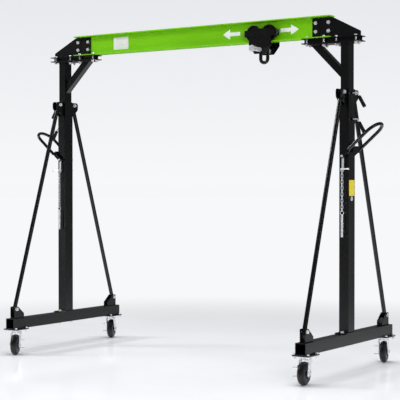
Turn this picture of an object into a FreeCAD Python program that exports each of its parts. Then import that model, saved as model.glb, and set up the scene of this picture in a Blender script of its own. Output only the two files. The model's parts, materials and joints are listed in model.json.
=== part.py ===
import FreeCAD, Part
import os
import re
import Sketcher
from FreeCAD import Placement, Rotation, Vector

# Adjustable-height gantry crane on four braked casters.
# Frame: millimetres, origin on the floor under the middle of the beam,
# +X along the beam to the right leg, +Y to the back, +Z up.
# Each leg is drawn in its own frame: origin on the floor under the post, +x outward.

doc = FreeCAD.newDocument("gantry_crane")

# ---------------------------------------------------------------- driving sizes
SIZES = [
    ("span", 2450, "post centre to post centre"),
    ("beam_top", 2400, "top of the beam at the lowest setting"),
    ("beam_end", 115, "end of the beam inward of a post"),
    ("beam_depth", 150, "depth of the I section"),
    ("beam_flange", 75, "width of the flanges"),
    ("flange_thick", 8, "thickness of the flanges"),
    ("web_thick", 6, "thickness of the web"),
    ("beam_root", 4, "root radius between web and flange"),
    ("mast_clear", 124, "lower end of the mast above the foot of the post"),
    ("overlap", 300, "mast left inside the post when fully raised"),
    ("mast_show", 305, "mast seen above the post at the lowest setting"),
    ("mast_gap", 2, "sliding clearance between mast and post on each side"),
    ("mast_wall", 3, "wall of the mast tube"),
    ("mast_plate", 8, "thickness of the plate on the mast"),
    ("pin_pitch", 75, "spacing of the height holes in the mast"),
    ("pin_hole", 17, "diameter of the height holes"),
    ("post_x", 70, "post tube along the beam"),
    ("post_y", 90, "post tube across the beam"),
    ("post_wall", 4, "wall of the post tube"),
    ("post_foot", 8, "thickness of the plate under the post"),
    ("post_foot_y", 180, "length of the plate under the post"),
    ("foot_bolt_y", 66, "post foot bolts from the centre"),
    ("slot_height", 140, "height of the lifting slot in the post"),
    ("base_length", 1270, "length of the base beam"),
    ("base_size", 76, "square section of the base beam"),
    ("base_wall", 4, "wall of the base beam"),
    ("caster_height", 184, "overall height of a caster"),
    ("caster_plate", 8, "thickness of the plate over a caster"),
    ("caster_plate_edge", 11, "caster bolts from the edge of that plate"),
    ("caster_plate_y", 145, "that plate across the beam"),
    ("caster_bolt_out", 11, "caster bolts from the side of the base beam"),
    ("caster_bolt_y", 57, "caster bolts from the pivot across the beam"),
    ("caster_inset", 70, "caster pivot from the end of the base beam"),
    ("wheel_size", 150, "diameter of a caster wheel"),
    ("wheel_width", 48, "width of a caster wheel"),
    ("wheel_round", 17, "shoulder radius of the tyre"),
    ("trail", 30, "wheel axle behind the caster pivot"),
    ("fork_gap", 6, "clearance between wheel and fork"),
    ("fork_thick", 4, "thickness of the fork"),
    ("frame_bolt", 12, "diameter of the frame bolts"),
    ("small_bolt", 10, "diameter of the caster bolts"),
    ("bolt_clear", 0.5, "clearance round a bolt"),
    ("brace_size", 30, "diameter of the brace tubes"),
    ("brace_wall", 2.5, "wall of the brace tubes"),
    ("brace_foot_rise", 67, "lower brace bolt above the base beam"),
    ("brace_foot_inset", 50, "lower brace bolt from the end of the base beam"),
    ("brace_head_drop", 24, "upper brace bolt below the top of the post"),
    ("brace_head_out", 40, "upper brace bolt from the face of the post"),
    ("bracket_gap", 32, "clear width of a brace bracket"),
    ("bracket_thick", 5, "thickness of the brace brackets"),
    ("lever_drop", 405, "lever pivot below the top of the post"),
    ("lever_out", 16, "lever pivot from the face of the post"),
    ("lever_angle", 41, "handle above level at rest"),
    ("lever_reach", 255, "pivot to the end of the handle loop"),
    ("lever_back", 67, "pivot to the lifting pins"),
    ("lever_legs", 165, "spacing of the two sides of the handle"),
    ("lever_bar", 22, "diameter of the handle bar"),
    ("lever_shaft", 16, "diameter of the lever shaft"),
    ("running_gap", 0.1, "radial clearance of a turning pin"),
    ("link_length", 85, "lifting link between its pins"),
    ("link_pin", 10, "diameter of the link pins"),
    ("link_out", 60, "inner face of a link from the middle of the post"),
    ("chain_wire", 4, "wire of the chain"),
    ("chain_link", 29, "outer length of a chain link"),
    ("chain_width", 18, "outer width of a chain link"),
    ("chain_slack", 0.4, "gap between neighbouring chain links"),
    ("ring_bend", 12, "radius of the rings at the ends of the chain"),
    ("lock_pin", 16, "diameter of the locking pin"),
    ("lock_pin_length", 150, "length of the locking pin"),
    ("clamp_upper_drop", 29, "upper clamp screw below the top of the post"),
    ("clamp_lower_drop", 202, "lower clamp screw below the top of the post"),
    ("clamp_rod", 10, "diameter of a clamp screw"),
    ("clamp_out", 34, "clamp screw from the post to its bend"),
    ("clamp_bend", 60, "angle of the bend in a clamp screw"),
    ("clamp_grip", 26, "diameter of a clamp grip"),
    ("clamp_grip_length", 85, "length of a clamp grip"),
    ("head_depth", 37, "depth of the bracket foot under the beam"),
    ("head_width", 96, "width of the bracket foot"),
    ("head_flange", 6, "thickness of the bracket foot"),
    ("head_in", 325, "bracket foot inward of the post"),
    ("head_out", 110, "bracket foot outward of the post"),
    ("gusset_in", 260, "end plates inward of the post"),
    ("gusset_out", 97, "end plates outward of the post"),
    ("gusset_thick", 6, "thickness of the end plates"),
    ("gusset_end", 33, "height of the end plates at their outer end"),
    ("gusset_slope", 110, "start of the slope inward of the post"),
    ("web_bolt_near", 137, "nearer web bolts inward of the post"),
    ("web_bolt_far", 235, "farther web bolts inward of the post"),
    ("web_bolt_z", 29, "web bolts from the middle of the beam"),
    ("head_bolt_y", 24, "foot bolts from the middle of the beam"),
    ("strut_size", 50, "square section of the strut"),
    ("strut_wall", 3, "wall of the strut"),
    ("strut_foot", 235, "foot of the strut below the mast plate"),
    ("trolley_x", 580, "trolley along the beam at rest"),
    ("side_width", 178, "width of a trolley side plate"),
    ("side_thick", 6, "thickness of a trolley side plate"),
    ("side_top", 57, "top of a side plate below the top of the beam"),
    ("side_gap", 16.5, "side plates clear of the flanges"),
    ("roller_spacing", 125, "rollers of a side, centre to centre"),
    ("roller_tread", 51.7, "radius of the tread of a roller"),
    ("roller_rim", 59, "radius of the rim of a roller"),
    ("roller_lift", 0.3, "gap left under a roller"),
    ("roller_pin", 20, "diameter of a roller pin"),
    ("axle_size", 30, "diameter of the load axle"),
    ("axle_drop", 55, "load axle below the beam"),
    ("axle_front", 180, "load axle to the front"),
    ("axle_back", 100, "load axle to the back"),
    ("eye_bar", 24, "bar of the load link"),
    ("eye_gap", 32, "clear width of the load link"),
    ("eye_length", 136, "overall length of the load link"),
]

# ---------------------------------------------------------------- worked-out places
LAYOUT = [
    ("base_low", "caster_height + caster_plate"),
    ("base_high", "base_low + base_size"),
    ("caster_bolt_x", "base_size / 2 + caster_bolt_out"),
    ("caster_plate_x", "2 * (caster_bolt_x + caster_plate_edge)"),
    ("post_low", "base_high + post_foot"),
    ("beam_low", "beam_top - beam_depth"),
    ("beam_mid", "beam_top - beam_depth / 2"),
    ("track", "beam_low + flange_thick"),
    ("beam_length", "span - 2 * beam_end"),
    ("head_low", "beam_low - head_depth"),
    ("mast_high", "head_low - mast_plate"),
    ("post_high", "mast_high - mast_show"),
    ("mast_low", "post_low + mast_clear"),
    ("mast_x", "post_x - 2 * post_wall - 2 * mast_gap"),
    ("mast_y", "post_y - 2 * post_wall - 2 * mast_gap"),
    ("caster_y", "base_length / 2 - caster_inset"),
    ("brace_low_z", "base_high + brace_foot_rise"),
    ("brace_low_y", "base_length / 2 - brace_foot_inset"),
    ("brace_high_z", "post_high - brace_head_drop"),
    ("brace_high_y", "post_y / 2 + brace_head_out"),
    ("brace_run", "brace_low_y - brace_high_y"),
    ("brace_rise", "brace_high_z - brace_low_z"),
    ("brace_length", "sqrt(brace_run ^ 2 + brace_rise ^ 2)"),
    ("brace_tilt", "atan(brace_run / brace_rise) / 1 deg"),
    ("bracket_half", "bracket_gap / 2 + bracket_thick"),
    ("lever_z", "post_high - lever_drop"),
    ("lever_x", "post_x / 2 + lever_out"),
    ("link_x", "lever_x - lever_back * cos(lever_angle)"),
    ("link_z", "lever_z - lever_back * sin(lever_angle)"),
    ("lift_pin_z", "link_z - link_length"),
    ("crank_in", "link_out + 6"),
    ("chain_y", "link_out + 14"),
    ("chain_pitch", "chain_link - 2 * chain_wire - chain_slack"),
    ("fork_in", "wheel_width / 2 + fork_gap"),
    ("fork_out", "fork_in + fork_thick"),
    ("wheel_radius", "wheel_size / 2"),
    ("crown_low", "wheel_size + 8"),
    ("swivel_high", "caster_height - 4"),
    ("roller_z", "track + roller_tread + roller_lift"),
    ("side_in", "beam_flange / 2 + side_gap"),
    ("side_out", "side_in + side_thick"),
    ("side_high", "beam_top - side_top"),
    ("side_low", "axle_z - 27"),
    ("axle_z", "beam_low - axle_drop"),
    ("eye_top", "axle_z - eye_gap / 2 + axle_size / 2 + 0.3"),
    ("eye_bottom", "eye_top - eye_length + eye_gap + 2 * eye_bar"),
]

# Casters: side of the crane, end of the base beam, heading of the wheel from the
# outward end, and the side of the fork that the brake is on.
CASTERS = [
    ("left_front", -1, -1, 208, -1),
    ("left_back", -1, 1, 24, -1),
    ("right_front", 1, -1, 187, 1),
    ("right_back", 1, 1, 15, -1),
]
CHAIN_LINKS = 13
PIN_HOLES = 14
HEAD_BOLTS_X = (-294, -165, -70, 75)

sheet = doc.addObject("Spreadsheet::Sheet", "sizes")
for row, (alias, number, meaning) in enumerate(SIZES, start=1):
    sheet.set(f"A{row}", meaning)
    sheet.set(f"B{row}", str(number))
    sheet.setAlias(f"B{row}", alias)
layout = doc.addObject("Spreadsheet::Sheet", "layout")
figure = doc.addObject("Spreadsheet::Sheet", "figure")
OWNER = {alias: "sizes" for alias, number, meaning in SIZES}
OWNER.update({alias: "layout" for alias, formula in LAYOUT})


def spell(formula, skip=""):
    """The formula with each size written with the sheet that holds it."""
    def full(match):
        word = match.group(0)
        if word not in OWNER:
            return word
        return word if OWNER[word] == skip else f"{OWNER[word]}.{word}"
    return re.sub(r"[A-Za-z_]\w*", full, str(formula))


for row, (alias, formula) in enumerate(LAYOUT, start=1):
    layout.set(f"A{row}", alias.replace("_", " "))
    layout.setAlias(f"B{row}", alias)
for row, (alias, formula) in enumerate(LAYOUT, start=1):
    layout.set(f"B{row}", "=" + spell(formula, skip="layout"))
doc.recompute()


def number(formula):
    """What a formula comes to with the sizes that the sheets hold now."""
    figure.set("A1", "=" + spell(formula))
    figure.recompute()
    return float(figure.get("A1"))


# ---------------------------------------------------------------- drawing helpers
TURNS = {
    "+z": Rotation(),
    "-z": Rotation(Vector(1, 0, 0), 180),
    "+y": Rotation(Vector(1, 0, 0), -90),
    "-y": Rotation(Vector(1, 0, 0), 90),
    "+x": Rotation(Vector(0, 1, 0), 90),
    "-x": Rotation(Vector(0, 1, 0), -90),
    "upright": Rotation(Vector(1, 0, 0), 90),
    "across": Rotation(Vector(1, 1, 1), 120),
}


def bind(item, **formulas):
    for name, formula in formulas.items():
        item.setExpression(name, spell(formula))


def put(item, x, y, z, turn="+z"):
    """Stand an object at a place given by formulas, turned to one of TURNS."""
    item.Placement = Placement(Vector(), TURNS[turn])
    item.setExpression("Placement.Base.x", spell(x))
    item.setExpression("Placement.Base.y", spell(y))
    item.setExpression("Placement.Base.z", spell(z))
    return item


def box(name, length, width, height, x, y, z):
    """A box centred on x and y that stands on z."""
    item = doc.addObject("Part::Box", name)
    bind(item, Length=length, Width=width, Height=height)
    return put(item, f"({x}) - ({length}) / 2", f"({y}) - ({width}) / 2", z)


def rod(name, radius, length, x, y, z, turn="+z"):
    """A cylinder that starts at a point and runs the way of the turn."""
    item = doc.addObject("Part::Cylinder", name)
    bind(item, Radius=radius, Height=length)
    return put(item, x, y, z, turn)


def hexagon(name, radius, length, x, y, z, turn="+z"):
    item = doc.addObject("Part::Prism", name)
    item.Polygon = 6
    bind(item, Circumradius=radius, Height=length)
    return put(item, x, y, z, turn)


def bend(name, radius, bar, angle, x, y, z, turn="+z"):
    """A bar bent round a centre: part of a ring, from the local x axis on."""
    item = doc.addObject("Part::Torus", name)
    bind(item, Radius1=radius, Radius2=bar, Angle3=angle)
    return put(item, x, y, z, turn)


def fuse(name, pieces):
    item = doc.addObject("Part::MultiFuse", name)
    item.Shapes = pieces
    item.Refine = True
    return item


def group(name, pieces):
    item = doc.addObject("Part::Compound", name)
    item.Links = pieces
    return item


def cut(name, base, tools):
    item = doc.addObject("Part::Cut", name)
    item.Base = base
    item.Tool = tools[0] if len(tools) == 1 else group(name + "_tools", tools)
    return item


def tube(name, length, width, height, wall, x, y, z, axis="z"):
    """A rectangular tube, open at both ends along its axis."""
    thin = {"length": length, "width": width, "height": height}
    low = z
    if axis == "z":
        thin["length"] = f"{length} - 2 * {wall}"
        thin["width"] = f"{width} - 2 * {wall}"
    else:
        thin["length"] = f"{length} - 2 * {wall}"
        thin["height"] = f"{height} - 2 * {wall}"
        low = f"{z} + {wall}"
    outside = box(name + "_outside", length, width, height, x, y, z)
    inside = box(name + "_inside", thin["length"], thin["width"], thin["height"], x, y, low)
    return cut(name, outside, [inside])


def plate(name, outline, thick, rounded=None):
    """A plate cut to an outline in its own XY plane, with some corners rounded."""
    body = doc.addObject("PartDesign::Body", name)
    sketch = body.newObject("Sketcher::SketchObject", name + "_outline")
    planes = [o for o in body.Origin.OriginFeatures if o.Role == "XY_Plane"]
    sketch.AttachmentSupport = (planes[0], [""])
    sketch.MapMode = "FlatFace"
    count = len(outline)
    spots = [Vector(number(x), number(y), 0) for x, y in outline]
    for i in range(count):
        sketch.addGeometry(Part.LineSegment(spots[i], spots[(i + 1) % count]), False)
    for i in range(count):
        sketch.addConstraint(Sketcher.Constraint("Coincident", i, 2, (i + 1) % count, 1))
    for i, (x, y) in enumerate(outline):
        for way, formula, value in (("DistanceX", x, spots[i].x), ("DistanceY", y, spots[i].y)):
            mark = sketch.addConstraint(Sketcher.Constraint(way, -1, 1, i, 1, value))
            sketch.setExpression(f"Constraints[{mark}]", spell(formula))
    pad = body.newObject("PartDesign::Pad", name + "_pad")
    pad.Profile = sketch
    bind(pad, Length=thick)
    doc.recompute()
    for radius, corners in (rounded or {}).items():
        edges = []
        for place, edge in enumerate(body.Tip.Shape.Edges, start=1):
            ends = [v.Point for v in edge.Vertexes]
            upright = len(ends) == 2 and abs(ends[0].x - ends[1].x) + abs(ends[0].y - ends[1].y) < 1e-6
            if upright and any((ends[0] - spots[i]).cross(Vector(0, 0, 1)).Length < 1e-4 for i in corners):
                edges.append(f"Edge{place}")
        base = body.Tip
        round_off = body.newObject("PartDesign::Fillet", f"{name}_round_{corners[0]}")
        round_off.Base = (base, edges)
        bind(round_off, Radius=radius)
        body.Tip = round_off
        doc.recompute()
    return body



def bolt(name, thread, grip, x, y, z, turn):
    """A hexagon bolt with washers and nut: it is seated at a point and runs the way of the turn."""
    sign = "-" if turn[0] == "-" else ""
    way = {"x": [0, 0, 0], "y": [0, 0, 0], "z": [0, 0, 0]}
    axis = "xyz".index(turn[1])
    spot = [x, y, z]

    def along(distance):
        place = list(spot)
        place[axis] = f"({spot[axis]}) + {sign or '+'}1 * ({distance})".replace("+ +1", "+ 1")
        return place
    washer = 2
    head = hexagon(name + "_head", f"0.92 * {thread}", f"0.63 * {thread}",
                   *along(f"-{washer} - 0.63 * {thread}"), turn)
    seat = rod(name + "_washer", f"1.05 * {thread}", washer, *along(f"-{washer}"), turn)
    shank = rod(name + "_shank", f"{thread} / 2", f"{grip} + {washer} + 1.3 * {thread}",
                *along(f"-{washer}"), turn)
    under = rod(name + "_nut_washer", f"1.05 * {thread}", washer, *along(grip), turn)
    nut = hexagon(name + "_nut", f"0.92 * {thread}", f"0.85 * {thread}", *along(f"{grip} + {washer}"), turn)
    return fuse(name, [head, seat, shank, under, nut])


def drill(name, thread, length, x, y, z, turn):
    """The hole for a bolt, to be cut from the pieces that it passes."""
    return rod(name, f"{thread} / 2 + bolt_clear", length, x, y, z, turn)


NODES = {}


def node(name, pieces, side=0):
    """Name the pieces as one node and stand it in its leg (-1 left, 1 right) or in the crane."""
    item = group("node_" + name, pieces)
    item.Label = name
    item.Placement = Placement(Vector(), Rotation(Vector(0, 0, 1), 180 if side < 0 else 0))
    item.setExpression("Placement.Base.x", spell(f"{side} * span / 2"))
    NODES[name] = item
    return item


# ---------------------------------------------------------------- one leg
def base_beam(leg, side):
    """Square tube on the casters, open at both ends, bored for the post bolts."""
    beam = tube(leg + "_base_tube", "base_size", "base_length", "base_size", "base_wall",
                0, 0, "base_low", axis="y")
    holes = [drill(f"{leg}_base_hole_{end}", "frame_bolt", "base_size + 20",
                   0, f"{end} * foot_bolt_y", "base_low - 10", "+z") for end in (-1, 1)]
    node(leg + "_base_beam", [cut(leg + "_base_bored", beam, holes)], side)


def caster_plates(leg, side):
    """Plates welded under the ends of the base beam."""
    plates = []
    for end in (-1, 1):
        label = f"{leg}_caster_plate_{end}"
        blank = box(label, "caster_plate_x", "caster_plate_y", "caster_plate",
                    0, f"{end} * caster_y", "caster_height")
        holes = [drill(f"{label}_hole_{i}_{j}", "small_bolt", "caster_plate + 2",
                       f"{i} * caster_bolt_x", f"{end} * caster_y + {j} * caster_bolt_y",
                       "caster_height - 1", "+z") for i in (-1, 1) for j in (-1, 1)]
        plates.append(cut(label + "_bored", blank, holes))
    node(leg + "_caster_plates", plates, side)


def brace_feet(leg, side):
    """Brackets at the ends of the base beam that hold the lower ends of the braces."""
    feet = []
    for end in (-1, 1):
        label = f"{leg}_brace_foot_{end}"
        outline = [(f"{end} * (brace_low_y + 22)", "base_high"),
                   (f"{end} * (brace_low_y + 22)", "brace_low_z + 20"),
                   (f"{end} * (brace_low_y - 16)", "brace_low_z + 20"),
                   (f"{end} * (brace_low_y - 82)", "base_high + 32"),
                   (f"{end} * (brace_low_y - 82)", "base_high")]
        cheeks = []
        for cheek in (-1, 1):
            body = plate(f"{label}_cheek_{cheek}", outline, "bracket_thick", {"8": [1, 2]})
            put(body, f"{cheek} * (bracket_gap + bracket_thick) / 2 - bracket_thick / 2", 0, 0, "across")
            cheeks.append(body)
        floor = box(label + "_floor", "2 * bracket_half", 104, "bracket_thick",
                    0, f"{end} * (brace_low_y - 30)", "base_high")
        hole = drill(label + "_hole", "frame_bolt", "2 * bracket_half + 10",
                     "-bracket_half - 5", f"{end} * brace_low_y", "brace_low_z", "+x")
        feet.append(cut(label, fuse(label + "_welded", cheeks + [floor]), [hole]))
    node(leg + "_brace_feet", feet, side)


def outer_post(leg, side):
    """Post tube with its foot plate, brace brackets, lever block and clamp nuts, all welded."""
    post = tube(leg + "_post_tube", "post_x", "post_y", "post_high - post_low", "post_wall",
                0, 0, "post_low")
    foot = box(leg + "_post_foot", "base_size + 12", "post_foot_y", "post_foot", 0, 0, "base_high")
    block = box(leg + "_lever_block", "2 * lever_out + 2", "post_y", 45,
                "post_x / 2 + lever_out + 1", 0, "lever_z - 22.5")
    parts = [post, foot, block]
    holes = [drill(f"{leg}_foot_hole_{end}", "frame_bolt", "post_foot + 2",
                   0, f"{end} * foot_bolt_y", "base_high - 1", "+z") for end in (-1, 1)]
    holes.append(rod(leg + "_lever_bore", "lever_shaft / 2 + running_gap", "post_y + 20",
                     "lever_x", "-post_y / 2 - 10", "lever_z", "+y"))
    holes.append(box(leg + "_slot", "pin_hole + 1", "post_y + 20", "slot_height", 0, 0, "lever_z - slot_height - 15"))
    for place in ("upper", "lower"):
        drop = f"post_high - clamp_{place}_drop"
        parts.append(hexagon(f"{leg}_{place}_clamp_nut", "clamp_rod", "clamp_rod", "post_x / 2", 0, drop, "+x"))
        holes.append(rod(f"{leg}_{place}_clamp_hole", "clamp_rod / 2 + running_gap", "post_wall + clamp_rod + 4",
                         "post_x / 2 - post_wall - 2", 0, drop, "+x"))
    for end in (-1, 1):
        label = f"{leg}_brace_head_{end}"
        outline = [(f"{end} * post_y / 2", "brace_high_z - 86"),
                   (f"{end} * post_y / 2", "brace_high_z + 21"),
                   (f"{end} * (brace_high_y + 42)", "brace_high_z + 21"),
                   (f"{end} * (brace_high_y + 42)", "brace_high_z - 34"),
                   (f"{end} * (post_y / 2 + 18)", "brace_high_z - 86")]
        for cheek in (-1, 1):
            body = plate(f"{label}_cheek_{cheek}", outline, "bracket_thick", {"18": [2], "30": [3]})
            put(body, f"{cheek} * (bracket_gap + bracket_thick) / 2 - bracket_thick / 2", 0, 0, "across")
            parts.append(body)
        holes.append(drill(label + "_hole", "frame_bolt", "2 * bracket_half + 10",
                           "-bracket_half - 5", f"{end} * brace_high_y", "brace_high_z", "+x"))
    node(leg + "_outer_post", [cut(leg + "_post_bored", fuse(leg + "_post_welded", parts), holes)], side)


def brace_rods(leg, side):
    """Two round tubes from the ends of the base beam to the top of the post, bored at both ends."""
    braces = []
    for end in (-1, 1):
        label = f"{leg}_brace_{end}"
        run = "brace_length + 2 * 18"
        outside = rod(label + "_outside", "brace_size / 2", run, 0, 0, -18)
        inside = rod(label + "_inside", "brace_size / 2 - brace_wall", run, 0, 0, -18)
        holes = [drill(f"{label}_hole_{k}", "frame_bolt", "brace_size + 10",
                       "-brace_size / 2 - 5", 0, place, "+x") for k, place in enumerate((0, "brace_length"))]
        brace = cut(label, outside, [inside] + holes)
        brace.Placement = Placement(Vector(), Rotation(Vector(end, 0, 0), 18))
        bind(brace, **{"Placement.Base.y": f"{end} * brace_low_y", "Placement.Base.z": "brace_low_z",
                       "Placement.Rotation.Angle": "brace_tilt"})
        braces.append(brace)
    node(leg + "_brace_rods", braces, side)


def leg_fittings(leg, side):
    """Zinc-plated bolts of the leg and the fixed top plates of its casters."""
    parts = []
    for end in (-1, 1):
        parts.append(bolt(f"{leg}_foot_bolt_{end}", "frame_bolt", "base_size + post_foot",
                          0, f"{end} * foot_bolt_y", "post_low", "-z"))
        parts.append(bolt(f"{leg}_low_brace_bolt_{end}", "frame_bolt", "2 * bracket_half",
                          "bracket_half", f"{end} * brace_low_y", "brace_low_z", "-x"))
        parts.append(bolt(f"{leg}_high_brace_bolt_{end}", "frame_bolt", "2 * bracket_half",
                          "bracket_half", f"{end} * brace_high_y", "brace_high_z", "-x"))
        top = box(f"{leg}_caster_top_{end}", "2 * caster_bolt_x + 18", "2 * caster_bolt_y + 22",
                  "caster_height - swivel_high", 0, f"{end} * caster_y", "swivel_high")
        bolts = [bolt(f"{leg}_caster_bolt_{end}_{i}_{j}", "small_bolt",
                      "caster_plate + caster_height - swivel_high",
                      f"{i} * caster_bolt_x", f"{end} * caster_y + {j} * caster_bolt_y", "base_low", "-z")
                 for i in (-1, 1) for j in (-1, 1)]
        parts.append(fuse(f"{leg}_caster_top_bolted_{end}", [top] + bolts))
    node(leg + "_fittings", parts, side)


def clamp_screws(leg, side):
    """Bent clamp screws with rubber grips that press on the mast."""
    for place in ("upper", "lower"):
        label = f"{leg}_{place}_clamp"
        level = f"post_high - clamp_{place}_drop"
        knee = "post_x / 2 + clamp_out"
        start = "post_x / 2 - post_wall - mast_gap + 0.3"
        stem = rod(label + "_stem", "clamp_rod / 2", f"{knee} - ({start})", start, 0, level, "+x")
        parts = [stem]
        elbow = bend(label + "_elbow", 12, "clamp_rod / 2", "clamp_bend", 0, 0, 0)
        leg_rod = rod(label + "_leg", "clamp_rod / 2", 24, 12, 0, 0, "-y")
        grip = rod(label + "_grip", "clamp_grip / 2", "clamp_grip_length", 12, "-18", 0, "-y")
        arm = fuse(label + "_arm", [elbow, leg_rod, grip])
        # The elbow's ring is turned so that it starts level and ends down along the grip.
        arm.Placement = Placement(Vector(), Rotation(Vector(1, 0, 0), 90) * Rotation(Vector(0, 0, 1), 30))
        bind(arm, **{"Placement.Base.x": knee, "Placement.Base.z": f"{level} - 12"})
        parts.append(arm)
        node(label, [fuse(label + "_whole", parts)], side)


def lever(leg, side):
    """Lifting handle: a loop of round bar on a cross shaft, with a crank at each side."""
    straight = "lever_reach - lever_legs / 2"
    parts = []
    for edge in (-1, 1):
        parts.append(rod(f"{leg}_lever_side_{edge}", "lever_bar / 2", straight,
                         0, f"{edge} * lever_legs / 2", 0, "+x"))
        crank = box(f"{leg}_crank_{edge}", "lever_back + 24", 6, 24,
                    "-lever_back / 2", f"{edge} * (crank_in + 3)", -12)
        pin = rod(f"{leg}_crank_bore_{edge}", "link_pin / 2 + running_gap", 20,
                  "-lever_back", f"{edge} * (crank_in + 3) - 10", 0, "+y")
        parts.append(cut(f"{leg}_crank_bored_{edge}", crank, [pin]))
    loop = bend(leg + "_lever_loop", "lever_legs / 2", "lever_bar / 2", 180, straight, 0, 0)
    loop.Placement = Placement(Vector(), Rotation(Vector(0, 0, 1), -90))
    bind(loop, **{"Placement.Base.x": straight})
    parts.append(loop)
    parts.append(rod(leg + "_lever_shaft", "lever_shaft / 2", "lever_legs", 0, "-lever_legs / 2", 0, "+y"))
    whole = fuse(leg + "_lever_whole", parts)
    whole.Placement = Placement(Vector(), Rotation(Vector(0, -1, 0), 40))
    bind(whole, **{"Placement.Base.x": "lever_x", "Placement.Base.z": "lever_z",
                   "Placement.Rotation.Angle": "lever_angle"})
    node(leg + "_lever", [whole], side)


def lifting_link(leg, side, face):
    """Flat link from a crank to a lifting pin; the front one ends in a bent pin with a ball."""
    edge = -side if face == "front" else side
    label = f"{leg}_{face}_link"
    mid = f"{edge} * (link_out + 2.5)"
    reach = "+y" if edge > 0 else "-y"
    bar = box(label + "_bar", 15, 5, "link_length", "link_x", mid, "lift_pin_z")
    start = f"{edge} * (link_out + 1)"
    parts = [bar]
    for place in ("link_z", "lift_pin_z"):
        parts.append(rod(f"{label}_eye_{place}", 9, 5, "link_x", f"{edge} * link_out", place, reach))
    parts.append(rod(label + "_top_pin", "link_pin / 2", 22, "link_x", start, "link_z", reach))
    parts.append(hexagon(label + "_top_head", "0.9 * link_pin", 5, "link_x", f"{edge} * (link_out + 16)",
                         "link_z", reach))
    inner = f"{edge} * (post_y / 2 + 7)"
    parts.append(rod(label + "_low_pin", "link_pin / 2", "link_out - post_y / 2 + 20", "link_x", inner,
                     "lift_pin_z", reach))
    if face == "front":
        far = f"{edge} * (link_out + 27)"
        way = side * 1
        handle_turn = "+x"
        parts.append(rod(label + "_low_pin_end", "link_pin / 2", 20, "link_x", f"{edge} * (link_out + 7)",
                         "lift_pin_z", reach))
        ball = doc.addObject("Part::Sphere", label + "_knee")
        bind(ball, Radius="link_pin / 2")
        parts.append(put(ball, "link_x", far, "lift_pin_z"))
        parts.append(rod(label + "_handle", "link_pin / 2", 50, "link_x", far, "lift_pin_z", handle_turn))
        tip = doc.addObject("Part::Sphere", label + "_tip")
        bind(tip, Radius="0.75 * link_pin")
        parts.append(put(tip, "link_x + 52", far, "lift_pin_z"))
    node(label, [fuse(label + "_whole", parts)], side)


def chain(leg, side):
    """Keeper chain on the pin of the front link: a ring, interlocked links and the locking pin."""
    edge = -side
    label = leg + "_chain"
    place_y = f"{edge} * chain_y"
    half = "(chain_link - chain_width) / 2"
    radius = "(chain_width - chain_wire) / 2"
    top = "lift_pin_z - ring_bend + chain_wire / 2 + link_pin / 2 + 0.3"
    parts = [bend(label + "_top_ring", "ring_bend", "chain_wire / 2", 360, "link_x", place_y, top, "upright")]
    first = f"{top} - ring_bend + chain_wire + chain_slack - chain_link / 2 + chain_wire / 2"
    for i in range(CHAIN_LINKS):
        ring = []
        for way in (-1, 1):
            ring.append(rod(f"{label}_{i}_side_{way}", "chain_wire / 2", f"2 * {half}",
                            f"{way} * {radius}", 0, f"-{half}"))
            arc = bend(f"{label}_{i}_arc_{way}", radius, "chain_wire / 2", 180, 0, 0, f"{way} * {half}")
            arc.Placement = Placement(Vector(), Rotation(Vector(1, 0, 0), 90 * way))
            bind(arc, **{"Placement.Base.z": f"{way} * {half}"})
            ring.append(arc)
        link = fuse(f"{label}_link_{i}", ring)
        link.Placement = Placement(Vector(), Rotation(Vector(0, 0, 1), 90 if i % 2 == 0 else 0))
        bind(link, **{"Placement.Base.x": "link_x", "Placement.Base.y": place_y,
                      "Placement.Base.z": f"{first} - {i} * chain_pitch"})
        parts.append(link)
    # The last link lies along x, so the ring of the locking pin lies across it.
    last = f"{first} - {CHAIN_LINKS - 1} * chain_pitch"
    low = f"{last} - chain_link / 2 + 1.5 * chain_wire + chain_slack - ring_bend"
    low_ring = bend(label + "_low_ring", "ring_bend", "chain_wire / 2", 360, "link_x", place_y, low,
                    "upright" if CHAIN_LINKS % 2 else "across")
    pin = rod(label + "_pin", "lock_pin / 2", "lock_pin_length", "link_x", place_y,
              f"{low} - ring_bend + 0.5", "-z")
    parts.append(fuse(label + "_pin_ring", [low_ring, pin]))
    node(label, parts, side)


def mast(leg, side):
    """Inner mast tube with its height holes and the plate welded on its top."""
    column = tube(leg + "_mast_tube", "mast_x", "mast_y", "mast_high - mast_low", "mast_wall", 0, 0, "mast_low")
    top = box(leg + "_mast_top", "gusset_in + 60", "head_width + 4", "mast_plate",
              "30 - gusset_in / 2 - 10", 0, "mast_high")
    holes = [rod(f"{leg}_height_hole_{i}", "pin_hole / 2", "mast_y + 10", 0, "-mast_y / 2 - 5",
                 f"mast_low + overlap + 60 + {i} * pin_pitch", "+y") for i in range(PIN_HOLES)]
    top_holes = [drill(f"{leg}_top_hole_{x}_{j}".replace("-", "m"), "frame_bolt", "mast_plate + 2",
                       x, f"{j} * head_bolt_y", "mast_high - 1", "+z")
                 for x in HEAD_BOLTS_X[1:3] for j in (-1, 1)]
    node(leg + "_mast", [cut(leg + "_mast_bored", column, holes), cut(leg + "_mast_top_bored", top, top_holes)],
         side)


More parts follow.
